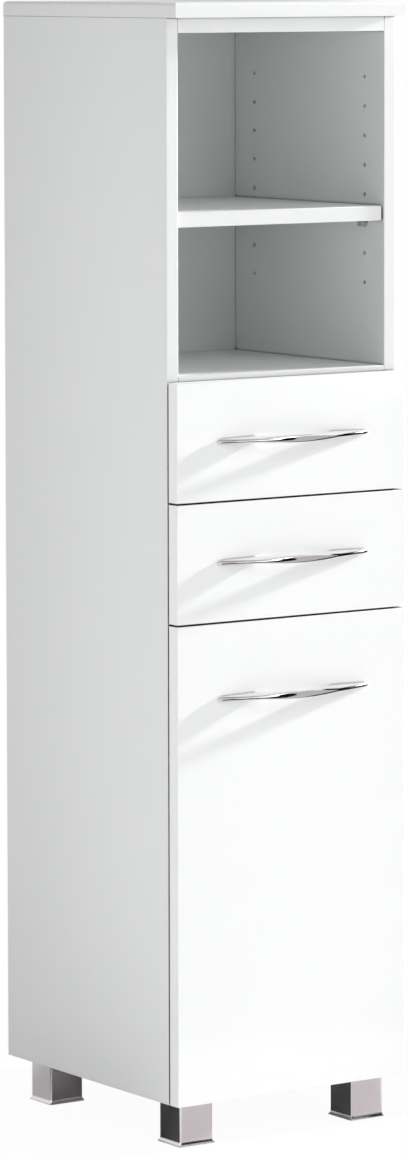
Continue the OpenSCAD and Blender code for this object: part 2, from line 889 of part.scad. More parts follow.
module lower_handle_screws() {
    handle_screw_pair(lower_front_z + drawer_front_h / 2);
}

module door_handle() {
    handle(door_handle_z);
}

module door_handle_screws() {
    handle_screw_pair(door_handle_z);
}

// Door, with the bores for the hinge cups and their screws
module door_panel() {
    color("white") in_carcass() difference() {
        translate([-front_w / 2, front_face_y, door_z]) cube([front_w, front_t, door_h]);
        handle_bores(door_handle_z);
        for (z = hinge_z) {
            bar_y([cup_x, -front_air - cup_depth, z], cup_r + snug, cup_depth + over);
            for (dz = [-flange_screw_z, flange_screw_z])
                bar_y([cup_x - flange_offset, -front_air - cup_screw_len, z + dz],
                      cup_screw_r, cup_screw_len + over);
        }
    }
}

// Hinge cups: a cup with a screw flange, two lugs and the pivot of the link
module hinge_cups() {
    pin_len = link_h + 2 * cheek_air + 2 * cup_lug_t;
    lug_z = link_h / 2 + cheek_air + cup_lug_t / 2;
    color("silver") in_carcass() for (z = hinge_z) {
        difference() {
            union() {
                bar_y([cup_x, -front_air - cup_depth, z], cup_r, cup_depth);
                block_z([cup_x - flange_offset - flange_w / 2, -front_air, z],
                        [flange_w, flange_t, 2 * flange_screw_z]);
                for (dz = [-flange_screw_z, flange_screw_z])
                    bar_y([cup_x - flange_offset, -front_air, z + dz], flange_w / 2, flange_t);
            }
            bar_y([cup_x, cup_wall - front_air - cup_depth, z],
                  cup_r - cup_wall, cup_depth + flange_t + over);
            for (dz = [-flange_screw_z, flange_screw_z])
                bar_y([cup_x - flange_offset, -front_air - over, z + dz],
                      cup_screw_r + snug, flange_t + 2 * over);
        }
        translate([cup_pivot[0], cup_pivot[1], z - pin_len / 2]) cylinder(r = pivot_r, h = pin_len);
        for (dz = [-lug_z, lug_z])
            block_z([cup_pivot[0] - cup_lug_w / 2, -front_air - cup_depth + cup_wall / 2, z + dz],
                    [cup_lug_w, cup_pivot[1] + front_air + cup_depth + cup_lug_w / 2, cup_lug_t]);
    }
}

module hinge_cup_screws() {
    color("silver") in_carcass() for (z = hinge_z, dz = [-flange_screw_z, flange_screw_z]) {
        bar_y([cup_x - flange_offset, flange_t - front_air - cup_screw_len, z + dz],
              cup_screw_r, cup_screw_len);
        bar_y([cup_x - flange_offset, flange_t - front_air, z + dz], cup_screw_head_r, flange_t);
    }
}

// Hinge plates on the right side panel
module hinge_plates() {
    face_x = inner_w / 2;
    color("silver") in_carcass() for (z = hinge_z) {
        difference() {
            block_z([face_x - plate_t, hinge_screw_y - plate_wing / 2, z],
                    [plate_t, plate_wing, hole_pitch + plate_wing]);
            for (dz = [-hole_pitch / 2, hole_pitch / 2])
                bar_x([face_x - plate_t - over, hinge_screw_y, z + dz], euro_r + snug, plate_t + 2 * over);
        }
        block_z([face_x - plate_t - rib_t, rib_start_y, z],
                [plate_t + rib_t, arm_y[1] - rib_start_y, rib_h]);
    }
}

// Hinge arms: a block on the plate and a forked nose with the pivot of the link
module hinge_arms() {
    arm_h = link_h + 2 * cheek_air + 2 * cheek_t;
    arm_x = inner_w / 2 - arm_top;
    color("silver") in_carcass() for (z = hinge_z) {
        difference() {
            union() {
                block_z([arm_x, arm_y[0], z], [arm_top - plate_t - rib_t, arm_y[1] - arm_y[0], arm_h]);
                block_z([arm_pivot[0] - arm_nose_r, arm_pivot[1], z],
                        [2 * arm_nose_r, arm_y[0] - arm_pivot[1] + arm_nose_r, arm_h]);
                translate([arm_pivot[0], arm_pivot[1], z - arm_h / 2]) cylinder(r = arm_nose_r, h = arm_h);
            }
            block_z([arm_pivot[0] - 2 * arm_nose_r, arm_pivot[1] - 2 * arm_nose_r, z],
                    [4 * arm_nose_r + over, fork_end_y - arm_pivot[1] + 2 * arm_nose_r,
                     link_h + 2 * cheek_air]);
        }
        translate([arm_pivot[0], arm_pivot[1], z - arm_h / 2]) cylinder(r = pivot_r, h = arm_h);
    }
}

// Hinge links: a curved strip with an eye at each pivot
module link_plan() {
    span = cup_pivot - arm_pivot;
    len = norm(span);
    bow_r = arc_r(len / 2, link_bulge);
    translate(arm_pivot) rotate(atan2(span[1], span[0])) difference() {
        union() {
            intersection() {
                translate([len / 2, bow_r - link_bulge]) difference() {
                    circle(r = bow_r + link_t / 2, $fn = 96);
                    circle(r = bow_r - link_t / 2, $fn = 96);
                }
                translate([0, -link_bulge - link_t]) square([len, link_bulge + link_t]);
            }
            circle(r = link_eye_r);
            translate([len, 0]) circle(r = link_eye_r);
        }
        circle(r = pivot_r + running);
        translate([len, 0]) circle(r = pivot_r + running);
    }
}

module hinge_links() {
    color("silver") in_carcass() for (z = hinge_z)
        translate([0, 0, z - link_h / 2]) linear_extrude(link_h) link_plan();
}

// Bumpers on the front edges: two at the opening side of the door, and one on each side of a drawer front
module front_bumpers() {
    edge_x = (cabinet_w - side_t) / 2;
    door_spots = [for (z = [door_z + bumper_inset, door_z + door_h - bumper_inset]) [-edge_x, z]];
    drawer_spots = [
        for (z = [upper_front_z, lower_front_z], x = [-edge_x, edge_x]) [x, z + drawer_front_h / 2]
    ];
    color("gainsboro") in_carcass() for (spot = concat(door_spots, drawer_spots))
        bar_y([spot[0], bumper_air - front_air, spot[1]], bumper_r, front_air - bumper_air);
}

side_panel_left();
side_panel_right();
top_panel();
carcass_top();
compartment_floor();
drawer_divider();
bottom_panel();
back_panel();
open_shelf();
cupboard_shelf();
shelf_pins();
cam_locks();
cam_bolts();
dowels();
top_screws();
foot_front_left();
foot_front_right();
foot_back_left();
foot_back_right();
foot_pads();
foot_bolts();
hinge_plates();
hinge_arms();
euro_screws();
upper_runner_left();
upper_runner_right();
lower_runner_left();
lower_runner_right();
wall_bracket();
front_bumpers();
upper_drawer_front();
upper_drawer_side_left();
upper_drawer_side_right();
upper_drawer_back();
upper_drawer_bottom();
upper_drawer_dowels();
upper_drawer_rail_left();
upper_drawer_rail_right();
upper_front_rollers();
upper_rear_rollers();
upper_handle();
upper_handle_screws();
lower_drawer_front();
lower_drawer_side_left();
lower_drawer_side_right();
lower_drawer_back();
lower_drawer_bottom();
lower_drawer_dowels();
lower_drawer_rail_left();
lower_drawer_rail_right();
lower_front_rollers();
lower_rear_rollers();
lower_handle();
lower_handle_screws();
door_panel();
door_handle();
door_handle_screws();
hinge_cups();
hinge_cup_screws();
hinge_links();
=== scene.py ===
import math

import bmesh
import bpy
from mathutils import Matrix, Vector


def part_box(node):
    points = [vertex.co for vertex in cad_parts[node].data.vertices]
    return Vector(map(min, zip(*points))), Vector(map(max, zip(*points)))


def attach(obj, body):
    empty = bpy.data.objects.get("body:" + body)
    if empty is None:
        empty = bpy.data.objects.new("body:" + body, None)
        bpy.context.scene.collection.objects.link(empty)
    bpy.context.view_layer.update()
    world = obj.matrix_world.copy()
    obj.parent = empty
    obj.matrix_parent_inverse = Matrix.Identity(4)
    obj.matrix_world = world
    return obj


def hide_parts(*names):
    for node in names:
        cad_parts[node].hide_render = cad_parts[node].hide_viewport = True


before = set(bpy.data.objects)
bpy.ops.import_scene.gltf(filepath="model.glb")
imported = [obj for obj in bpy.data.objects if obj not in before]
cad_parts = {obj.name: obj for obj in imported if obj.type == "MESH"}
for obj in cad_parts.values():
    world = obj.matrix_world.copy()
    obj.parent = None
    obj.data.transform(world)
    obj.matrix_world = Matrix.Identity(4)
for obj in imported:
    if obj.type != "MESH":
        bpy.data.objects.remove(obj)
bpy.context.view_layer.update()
scene = bpy.context.scene
print("cabinet: the frame is loaded")

# where the colour mix node has its sockets
mixSocket = {"factor": 0, "first": 6, "second": 7, "result": 2}


def addNode(owner, kind, **values):
    node = owner.node_tree.nodes.new(kind)
    for key, value in values.items():
        if key in node.inputs:
            node.inputs[key].default_value = value
        else:
            setattr(node, key, value)
    return node


def link(owner, fromNode, fromSocket, toNode, toSocket):
    owner.node_tree.links.new(fromNode.outputs[fromSocket], toNode.inputs[toSocket])


def startMaterial(name, colour, roughness, metallic=0.0):
    material = bpy.data.materials.new(name)
    material.use_nodes = True
    shader = material.node_tree.nodes["Principled BSDF"]
    shader.inputs["Base Color"].default_value = (*colour, 1)
    shader.inputs["Roughness"].default_value = roughness
    shader.inputs["Metallic"].default_value = metallic
    where = addNode(material, "ShaderNodeTexCoord")
    return material, shader, where


def noise(material, where, scale, detail=4.0, stretch=(1, 1, 1), rough=0.5):
    mapping = addNode(material, "ShaderNodeMapping")
    mapping.inputs["Scale"].default_value = stretch
    link(material, where, "Object", mapping, "Vector")
    texture = addNode(material, "ShaderNodeTexNoise", Scale=scale, Detail=detail, Roughness=rough)
    link(material, mapping, "Vector", texture, "Vector")
    return texture


noiseRange = (0.3, 0.7)   # where nearly all values of a noise texture lie


def roughnessFrom(material, shader, texture, low, high):
    ramp = addNode(material, "ShaderNodeMapRange")
    ramp.inputs["From Min"].default_value, ramp.inputs["From Max"].default_value = noiseRange
    ramp.inputs["To Min"].default_value = low
    ramp.inputs["To Max"].default_value = high
    link(material, texture, "Fac", ramp, "Value")
    link(material, ramp, "Result", shader, "Roughness")


def blend(material, factor, socket, first, second):
    # each side is a colour, or another mix
    mix = addNode(material, "ShaderNodeMix", data_type="RGBA")
    link(material, factor, socket, mix, mixSocket["factor"])
    for side, slot in ((first, mixSocket["first"]), (second, mixSocket["second"])):
        if isinstance(side, tuple):
            mix.inputs[slot].default_value = (*side, 1)
        else:
            link(material, side, mixSocket["result"], mix, slot)
    return mix


def colourFrom(material, shader, mix):
    link(material, mix, mixSocket["result"], shader, "Base Color")


def bumpFrom(material, shader, texture, strength, distance=0.0002):
    bump = addNode(material, "ShaderNodeBump", Strength=strength, Distance=distance)
    link(material, texture, "Fac", bump, "Height")
    link(material, bump, "Normal", shader, "Normal")


def facingSide(material, where, axis, limit):
    # 1 on the faces that look along the axis, or against it where the limit is negative
    split = addNode(material, "ShaderNodeSeparateXYZ")
    link(material, where, "Normal", split, "Vector")
    facing = addNode(material, "ShaderNodeMath", operation="GREATER_THAN" if limit > 0 else "LESS_THAN")
    facing.inputs[1].default_value = limit
    link(material, split, axis, facing, 0)
    return facing


# colour and samples of the painted shade in crevices
shadeInCrevices = {"colour": (0.02, 0.02, 0.02), "samples": 8}


def paintCreviceShade(material, tint, reach, low, high):
    # painted shade: the colour is blended to near black where ambient occlusion finds the surface enclosed,
    # so slits a few millimetres wide and inner corners stay dark
    occlusion = addNode(material, "ShaderNodeAmbientOcclusion", samples=shadeInCrevices["samples"])
    occlusion.inputs["Distance"].default_value = reach
    unshadedFactor = addNode(material, "ShaderNodeMapRange")
    unshadedFactor.inputs["From Min"].default_value = low
    unshadedFactor.inputs["From Max"].default_value = high
    link(material, occlusion, "AO", unshadedFactor, "Value")
    return blend(material, unshadedFactor, "Result", shadeInCrevices["colour"], tint)


# finishes; the painted crevice shade has its reach and the openness at which it is black and at which it is
# clear
boardFinish = {"colour": (0.838, 0.846, 0.844), "shade": (0.818, 0.828, 0.826), "cloud": 14,
               "roughness": (0.34, 0.44), "shine": 60, "grain": 900, "bump": 0.16,
               "creviceShade": (0.006, 0.46, 0.62),
               "raw": (0.62, 0.5, 0.35), "rawDark": (0.4, 0.29, 0.18), "chips": 420, "rearFacing": 0.7}


def boardMaterial(name, rawRear):
    values = boardFinish
    material, shader, where = startMaterial(name, values["colour"], values["roughness"][0])
    cloud = noise(material, where, values["cloud"], 3)
    tint = blend(material, cloud, "Fac", values["colour"], values["shade"])
    roughnessFrom(material, shader, noise(material, where, values["shine"], 5), *values["roughness"])
    bumpFrom(material, shader, noise(material, where, values["grain"], 2), values["bump"])
    if rawRear:
        # the rear edges of the boards are left as bare chipboard
        chips = addNode(material, "ShaderNodeTexVoronoi", Scale=values["chips"])
        link(material, where, "Object", chips, "Vector")
        bare = blend(material, chips, "Distance", values["rawDark"], values["raw"])
        rear = facingSide(material, where, "Y", values["rearFacing"])
        tint = blend(material, rear, "Value", tint, bare)
    # painted shade darkens the board's colour in slits and corners
    colourFrom(material, shader, paintCreviceShade(material, tint, *values["creviceShade"]))
    return material


frontFinish = {"colour": (0.93, 0.937, 0.935), "shade": (0.915, 0.924, 0.922), "cloud": 9,
               "roughness": (0.3, 0.36), "shine": 35, "peel": 420, "bump": 0.04,
               "creviceShade": (0.004, 0.43, 0.6)}


def frontMaterial():
    values = frontFinish
    material, shader, where = startMaterial("whiteFront", values["colour"], values["roughness"][0])
    cloud = noise(material, where, values["cloud"], 3)
    tint = blend(material, cloud, "Fac", values["colour"], values["shade"])
    # painted shade darkens the front's colour in slits and round the handles' feet
    colourFrom(material, shader, paintCreviceShade(material, tint, *values["creviceShade"]))
    roughnessFrom(material, shader, noise(material, where, values["shine"], 4), *values["roughness"])
    bumpFrom(material, shader, noise(material, where, values["peel"], 2), values["bump"])
    return material


# the bore walls are whiter than the board's face, a painted highlight that makes the holes show as light dots
boreFinish = {"light": (0.95, 0.955, 0.95), "dark": (0.86, 0.865, 0.855), "roughness": 0.6,
              "crumbs": 1500, "bump": 0.3}


def boreMaterial():
    values = boreFinish
    material, shader, where = startMaterial("boreWall", values["light"], values["roughness"])
    crumbs = noise(material, where, values["crumbs"], 4)
    colourFrom(material, shader, blend(material, crumbs, "Fac", values["light"], values["dark"]))
    bumpFrom(material, shader, crumbs, values["bump"])
    return material


# hardboard, white on one side and raw on the other
hardboardFinish = {"white": (0.84, 0.85, 0.85), "raw": (0.34, 0.235, 0.15), "rawLight": (0.45, 0.32, 0.21),
                   "roughness": 0.55, "fibres": 700, "weave": 900, "bump": 0.2}


def hardboardMaterial(name, axis, limit):
    values = hardboardFinish
    material, shader, where = startMaterial(name, values["white"], values["roughness"])
    fibres = noise(material, where, values["fibres"], 6, rough=0.7)
    raw = blend(material, fibres, "Fac", values["raw"], values["rawLight"])
    rear = facingSide(material, where, axis, limit)
    colourFrom(material, shader, blend(material, rear, "Value", values["white"], raw))
    bumpFrom(material, shader, noise(material, where, values["weave"], 3), values["bump"])
    return material


metals = {
    "chrome": {"colour": (0.9, 0.89, 0.9), "cloudColour": (0.87, 0.86, 0.87), "roughness": (0.04, 0.08),
               "streaks": (1, 8, 8), "scale": 60, "bump": 0.02},
    "footMetal": {"colour": (0.74, 0.72, 0.73), "cloudColour": (0.68, 0.66, 0.67), "roughness": (0.16, 0.26),
                  "streaks": (60, 60, 1), "scale": 40, "bump": 0.06},
    "zincSteel": {"colour": (0.6, 0.61, 0.63), "cloudColour": (0.5, 0.51, 0.53), "roughness": (0.28, 0.45),
                  "streaks": (1, 1, 1), "scale": 180, "bump": 0.1},
    "nickelSteel": {"colour": (0.66, 0.64, 0.6), "cloudColour": (0.6, 0.58, 0.55), "roughness": (0.2, 0.32),
                    "streaks": (1, 1, 1), "scale": 140, "bump": 0.06},
}
metalCloud = 55


def metalMaterial(name):
    values = metals[name]
    material, shader, where = startMaterial(name, values["colour"], values["roughness"][0], metallic=1.0)
    streaks = noise(material, where, values["scale"], 4, values["streaks"])
    roughnessFrom(material, shader, streaks, *values["roughness"])
    cloud = noise(material, where, metalCloud, 3)
    colourFrom(material, shader, blend(material, cloud, "Fac", values["colour"], values["cloudColour"]))
    bumpFrom(material, shader, streaks, values["bump"], 0.0001)
    return material


plastics = {
    "whiteSheet": {"colour": (0.82, 0.82, 0.8), "cloudColour": (0.8, 0.8, 0.78), "roughness": (0.32, 0.42),
                   "grain": 900, "bump": 0.12},
    "rollerNylon": {"colour": (0.82, 0.82, 0.79), "cloudColour": (0.78, 0.78, 0.75),
                    "roughness": (0.3, 0.42), "grain": 700, "bump": 0.1},
    "padPlastic": {"colour": (0.06, 0.06, 0.065), "cloudColour": (0.045, 0.045, 0.05),
                   "roughness": (0.55, 0.7), "grain": 800, "bump": 0.2},
}


def plasticMaterial(name):
    values = plastics[name]
    material, shader, where = startMaterial(name, values["colour"], values["roughness"][0])
    cloud = noise(material, where, values["grain"] / 6, 3)
    colourFrom(material, shader, blend(material, cloud, "Fac", values["colour"], values["cloudColour"]))
    roughnessFrom(material, shader, cloud, *values["roughness"])
    bumpFrom(material, shader, noise(material, where, values["grain"], 2), values["bump"])
    return material


beechFinish = {"dark": (0.5, 0.32, 0.17), "light": (0.7, 0.5, 0.31), "roughness": 0.6, "grain": 300,
               "alongGrain": (0.08, 1, 1), "bump": 0.3}


def beechMaterial():
    values = beechFinish
    material, shader, where = startMaterial("beech", values["light"], values["roughness"])
    grain = noise(material, where, values["grain"], 6, values["alongGrain"], 0.6)
    colourFrom(material, shader, blend(material, grain, "Fac", values["dark"], values["light"]))
    bumpFrom(material, shader, grain, values["bump"], 0.0003)
    return material


bumperFinish = {"colour": (0.85, 0.87, 0.87), "clear": 0.35, "roughness": (0.2, 0.32), "cloud": 300,
                "bump": 0.1}


def bumperMaterial():
    values = bumperFinish
    material, shader, where = startMaterial("bumper", values["colour"], values["roughness"][0])
    shader.inputs["Transmission Weight"].default_value = values["clear"]
    cloud = noise(material, where, values["cloud"], 2)
    roughnessFrom(material, shader, cloud, *values["roughness"])
    bumpFrom(material, shader, cloud, values["bump"])
    return material


finish = {
    "board": boardMaterial("whiteBoard", False),
    "boardRaw": boardMaterial("whiteBoardRawRear", True),
    "bore": boreMaterial(),
    "front": frontMaterial(),
    "back": hardboardMaterial("backBoard", "Y", 0.5),
    "drawerBottom": hardboardMaterial("drawerBoard", "Z", -0.5),
    "chrome": metalMaterial("chrome"),
    "foot": metalMaterial("footMetal"),
    "zinc": metalMaterial("zincSteel"),
    "nickel": metalMaterial("nickelSteel"),
    "sheet": plasticMaterial("whiteSheet"),
    "nylon": plasticMaterial("rollerNylon"),
    "pad": plasticMaterial("padPlastic"),
    "beech": beechMaterial(),
    "bumper": bumperMaterial(),
}

# what each node of the frame is made of
nodeFinish = {
    "boardRaw": ["side_panel_left", "side_panel_right", "top_panel", "carcass_top", "bottom_panel"],
    "board": ["compartment_floor", "drawer_divider", "open_shelf", "cupboard_shelf",
              "upper_drawer_side_left", "upper_drawer_side_right", "upper_drawer_back",
              "lower_drawer_side_left", "lower_drawer_side_right", "lower_drawer_back"],
    "front": ["upper_drawer_front", "lower_drawer_front", "door_panel"],
    "back": ["back_panel"],
    "drawerBottom": ["upper_drawer_bottom", "lower_drawer_bottom"],
    "chrome": ["upper_handle", "lower_handle", "door_handle"],
    "foot": ["foot_front_left", "foot_front_right", "foot_back_left", "foot_back_right"],
    "zinc": ["shelf_pins", "cam_locks", "cam_bolts", "top_screws", "foot_bolts", "euro_screws",
             "wall_bracket", "upper_handle_screws", "lower_handle_screws", "door_handle_screws",
             "hinge_cup_screws"],
    "nickel": ["hinge_plates", "hinge_arms", "hinge_cups", "hinge_links"],
    "sheet": ["upper_runner_left", "upper_runner_right", "lower_runner_left", "lower_runner_right",
              "upper_drawer_rail_left", "upper_drawer_rail_right", "lower_drawer_rail_left",
              "lower_drawer_rail_right"],
    "nylon": ["upper_front_rollers", "upper_rear_rollers", "lower_front_rollers", "lower_rear_rollers"],
    "beech": ["dowels", "upper_drawer_dowels", "lower_drawer_dowels"],
    "pad": ["foot_pads"],
    "bumper": ["front_bumpers"],
}
for name, members in nodeFinish.items():
    for node in members:
        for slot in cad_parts[node].material_slots:
            slot.material = finish[name]
print("cabinet: the finishes are on")


def finishPiece(bm, name, material, body, node, sharp=35):
    for face in bm.faces:
        face.smooth = True
    mesh = bpy.data.meshes.new(name)
    bm.to_mesh(mesh)
    bm.free()
    mesh.set_sharp_from_angle(angle=math.radians(sharp))
    mesh.materials.append(material)
    piece = bpy.data.objects.new(name, mesh)
    scene.collection.objects.link(piece)
    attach(piece, body)
    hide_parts(node)
    return piece


# boards and fronts with eased edges: name, finish, body, radius of the edges
easedBoards = {
    "side_panel_left": ("sideLeft", "boardRaw", "cabinet", 0.0007),
    "side_panel_right": ("sideRight", "boardRaw", "cabinet", 0.0007),
    "carcass_top": ("carcassTop", "boardRaw", "cabinet", 0.0005),
    "compartment_floor": ("compartmentFloor", "board", "cabinet", 0.0005),
    "drawer_divider": ("drawerDivider", "board", "cabinet", 0.0005),
    "bottom_panel": ("bottomPanel", "boardRaw", "cabinet", 0.0005),
    "open_shelf": ("openShelf", "board", "cabinet", 0.0008),
    "cupboard_shelf": ("cupboardShelf", "board", "cabinet", 0.0008),
    "upper_drawer_front": ("upperFront", "front", "upper_drawer", 0.0006),
    "lower_drawer_front": ("lowerFront", "front", "lower_drawer", 0.0006),
    "door_panel": ("doorPanel", "front", "door", 0.0006),
}
# an edge is eased where it is longer than the bores' facets and bends by more than the least bend
easing = {"mergeWithin": 0.000002, "flatWithin": 0.5, "longerThan": 0.012, "leastBend": 60, "segments": 2}


def isSlanted(normal):
    # true on the walls of bores, false on the flat sides of a board
    return max(abs(part) for part in normal) < 0.9995


def easedBoard(node, name, material, body, radius):
    bm = bmesh.new()
    bm.from_mesh(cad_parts[node].data)
    bmesh.ops.remove_doubles(bm, verts=bm.verts, dist=easing["mergeWithin"])
    bmesh.ops.dissolve_limit(bm, angle_limit=math.radians(easing["flatWithin"]), verts=bm.verts,
                             edges=bm.edges)
    leastBend = math.radians(easing["leastBend"])
    longEdges = []
    for edge in bm.edges:
        if edge.is_manifold and edge.is_convex and edge.calc_length() > easing["longerThan"]:
            if edge.calc_face_angle() > leastBend:
                longEdges.append(edge)
    for face in bm.faces:
        if isSlanted(face.normal):
            face.material_index = 1
    bmesh.ops.bevel(bm, geom=longEdges, offset=radius, segments=easing["segments"], profile=0.5,
                    affect="EDGES", material=0, clamp_overlap=False)
    piece = finishPiece(bm, name, finish[material], body, node)
    piece.data.materials.append(finish["bore"])
    for face in piece.data.polygons:
        face.use_smooth = isSlanted(face.normal)


for node, values in easedBoards.items():
    easedBoard(node, *values)
print("cabinet: the boards have their eased edges")


handles = {
    "upper_handle": ("upperHandle", "upper_drawer"),
    "lower_handle": ("lowerHandle", "lower_drawer"),
    "door_handle": ("doorHandle", "door"),
}
# reach is how far the bow stands out, footInner where the gap behind the grip ends
handleShape = {"length": 0.195, "reach": 0.024, "endDepth": 0.003, "footInner": 0.05, "gripDepth": 0.005,
               "height": 0.0085, "endHeight": 0.005, "steps": 96, "around": 28,
               "tipRound": 0.0035, "tipDrop": 0.72, "backDepth": 3, "backHeight": 2.2}


def arcDepth(x, halfChord, sagitta):
    radius = (halfChord * halfChord + sagitta * sagitta) / (2 * sagitta)
    return math.sqrt(max(radius * radius - x * x, 0)) - radius + sagitta


def handleFront(x):
    # how far the front of the bow stands out at a place along the handle
    values = handleShape
    return values["endDepth"] + arcDepth(x, values["length"] / 2, values["reach"] - values["endDepth"])


def bowHandle(node, name, body):
    values = handleShape
    low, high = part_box(node)
    frontY, middleZ = high.y, (low.z + high.z) / 2
    half = values["length"] / 2
    bm = bmesh.new()
    bmesh.ops.create_circle(bm, cap_ends=True, segments=values["around"], radius=1,
                            matrix=Matrix.Rotation(math.pi / 2, 4, "Y"))
    ring = list(bm.edges)
    bmesh.ops.translate(bm, verts=bm.verts, vec=(-half, 0, 0))
    step = values["length"] / values["steps"]
    for _ in range(values["steps"]):
        made = bmesh.ops.extrude_edge_only(bm, edges=ring)["geom"]
        verts = [v for v in made if isinstance(v, bmesh.types.BMVert)]
        ring = [e for e in made if isinstance(e, bmesh.types.BMEdge)]
        bmesh.ops.translate(bm, verts=verts, vec=(step, 0, 0))
    bmesh.ops.edgeloop_fill(bm, edges=ring)
    # the round rod is bent and flattened to the bow
    for vert in bm.verts:
        x = vert.co.x
        front = handleFront(x)
        gap = 0.0
        if abs(x) < values["footInner"]:
            gap = arcDepth(x, values["footInner"], values["reach"] - values["gripDepth"])
        tall = values["endHeight"] + (values["height"] - values["endHeight"]) * (1 - (x / half) ** 2)
        over = max(0.0, abs(x) - half + values["tipRound"]) / values["tipRound"]
        if over > 0:
            tall *= math.sqrt(max(1 - over * over * values["tipDrop"], 0.0))
        across, upright = vert.co.y, vert.co.z
        middle, deep = (front + gap) / 2, (front - gap) / 2
        if across < 0:
            # crowned face towards the room
            y = -middle + across * deep
            z = upright * tall / 2
        else:
            # flat back with rounded edges
            y = -middle + deep * (1 - (1 - across) ** values["backDepth"])
            z = math.copysign(1 - (1 - abs(upright)) ** values["backHeight"], upright) * tall / 2
        vert.co = Vector((x, frontY + y, middleZ + z))
    bmesh.ops.recalc_face_normals(bm, faces=bm.faces)
    piece = finishPiece(bm, name, finish["chrome"], body, node, sharp=50)


for node, values in handles.items():
    bowHandle(node, *values)
print("cabinet: the handles are made")


feet = {
    "foot_front_left": "footFrontLeft",
    "foot_front_right": "footFrontRight",
    "foot_back_left": "footBackLeft",
    "foot_back_right": "footBackRight",
}
# the lowest band of a foot is upright, and the flare runs out over the rings above it
footShape = {"width": 0.042, "depth": 0.04, "height": 0.048, "lift": 0.0005, "corner": 0.0022,
             "cornerSegments": 5, "wall": 0.0015, "plate": 0.003, "flare": 0.002, "flareCurve": 2.4,
             "band": 0.0008, "rings": (0.0008, 0.0014, 0.0021, 0.003, 0.0048), "insideMargin": 1.2}


def metalFoot(node, name):
    values = footShape
    low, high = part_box(node)
    centre = (low + high) / 2
    height = values["height"] - values["lift"]
    bm = bmesh.new()
    bmesh.ops.create_cube(bm, size=1)
    bmesh.ops.scale(bm, vec=(values["width"], values["depth"], height), verts=bm.verts)
    upright = [e for e in bm.edges if abs(e.verts[0].co.z - e.verts[1].co.z) > height / 2]
    bmesh.ops.bevel(bm, geom=upright, offset=values["corner"], segments=values["cornerSegments"],
                    profile=0.5, affect="EDGES", material=-1, clamp_overlap=False)
    # the hollow underneath
    below = [f for f in bm.faces if f.normal.z < -0.9]
    bmesh.ops.inset_region(bm, faces=below, thickness=values["wall"])
    inner = bmesh.ops.extrude_face_region(bm, geom=below)
    raised = [v for v in inner["geom"] if isinstance(v, bmesh.types.BMVert)]
    bmesh.ops.translate(bm, verts=raised, vec=(0, 0, height - values["plate"]))
    bmesh.ops.delete(bm, geom=below, context="FACES_ONLY")
    # rings for the flared base
    bottom = -height / 2
    for z in values["rings"]:
        bmesh.ops.bisect_plane(bm, geom=bm.verts[:] + bm.edges[:] + bm.faces[:], dist=0.00001,
                               plane_co=(0, 0, bottom + z), plane_no=(0, 0, 1))
    margin = values["wall"] * values["insideMargin"]
    insideX, insideY = values["width"] / 2 - margin, values["depth"] / 2 - margin
    flareTop = values["rings"][-1]
    for vert in bm.verts:
        rise = vert.co.z - bottom
        if rise < flareTop and (abs(vert.co.x) > insideX or abs(vert.co.y) > insideY):
            above = max(rise - values["band"], 0.0) / (flareTop - values["band"])
            grow = values["flare"] * (1 - above) ** values["flareCurve"]
            vert.co.x *= 1 + 2 * grow / values["width"]
            vert.co.y *= 1 + 2 * grow / values["depth"]
    bmesh.ops.translate(bm, verts=bm.verts, vec=(centre.x, centre.y, values["height"] - height / 2))
    piece = finishPiece(bm, name, finish["foot"], "cabinet", node, sharp=40)


for node, name in feet.items():
    metalFoot(node, name)
print("cabinet: the feet are made")


stageSet = {"floorColour": (0.9, 0.9, 0.9), "floorRoughness": 0.7, "floorSize": 14, "floorWhite": 0.96,
            "ambient": 0.44}


def stageMesh(bm, name, material):
    mesh = bpy.data.meshes.new(name)
    bm.to_mesh(mesh)
    bm.free()
    mesh.materials.append(material)
    piece = bpy.data.objects.new(name, mesh)
    scene.collection.objects.link(piece)
    return piece


def floorMaterial():
    # nearly white to the camera, so that only the object's shadow shows on it
    material, shader, _ = startMaterial("paleFloor", stageSet["floorColour"], stageSet["floorRoughness"])
    glow = addNode(material, "ShaderNodeEmission", Strength=1.0)
    path = addNode(material, "ShaderNodeLightPath")
    amount = addNode(material, "ShaderNodeMath", operation="MULTIPLY")
    amount.inputs[1].default_value = stageSet["floorWhite"]
    link(material, path, "Is Camera Ray", amount, 0)
    mix = addNode(material, "ShaderNodeMixShader")
    link(material, amount, "Value", mix, 0)
    link(material, shader, "BSDF", mix, 1)
    link(material, glow, "Emission", mix, 2)
    link(material, mix, "Shader", material.node_tree.nodes["Material Output"], "Surface")
    return material


def buildFloor():
    bm = bmesh.new()
    bmesh.ops.create_grid(bm, x_segments=1, y_segments=1, size=stageSet["floorSize"] / 2)
    floor = stageMesh(bm, "studioFloor", floorMaterial())


def buildWorld():
    # white to the camera and in reflections, dimmer as a light
    world = bpy.data.worlds.new("studio")
    scene.world = world
    world.use_nodes = True
    background = world.node_tree.nodes["Background"]
    background.inputs["Color"].default_value = (1, 1, 1, 1)
    path = addNode(world, "ShaderNodeLightPath")
    seen = addNode(world, "ShaderNodeMath", operation="MAXIMUM")
    link(world, path, "Is Camera Ray", seen, 0)
    link(world, path, "Is Transmission Ray", seen, 1)
    seenOrMirrored = addNode(world, "ShaderNodeMath", operation="MAXIMUM")
    link(world, seen, "Value", seenOrMirrored, 0)
    link(world, path, "Is Glossy Ray", seenOrMirrored, 1)
    strength = addNode(world, "ShaderNodeMapRange")
    strength.inputs["To Min"].default_value = stageSet["ambient"]
    strength.inputs["To Max"].default_value = 1.0
    link(world, seenOrMirrored, "Value", strength, "Value")
    link(world, strength, "Result", background, "Strength")


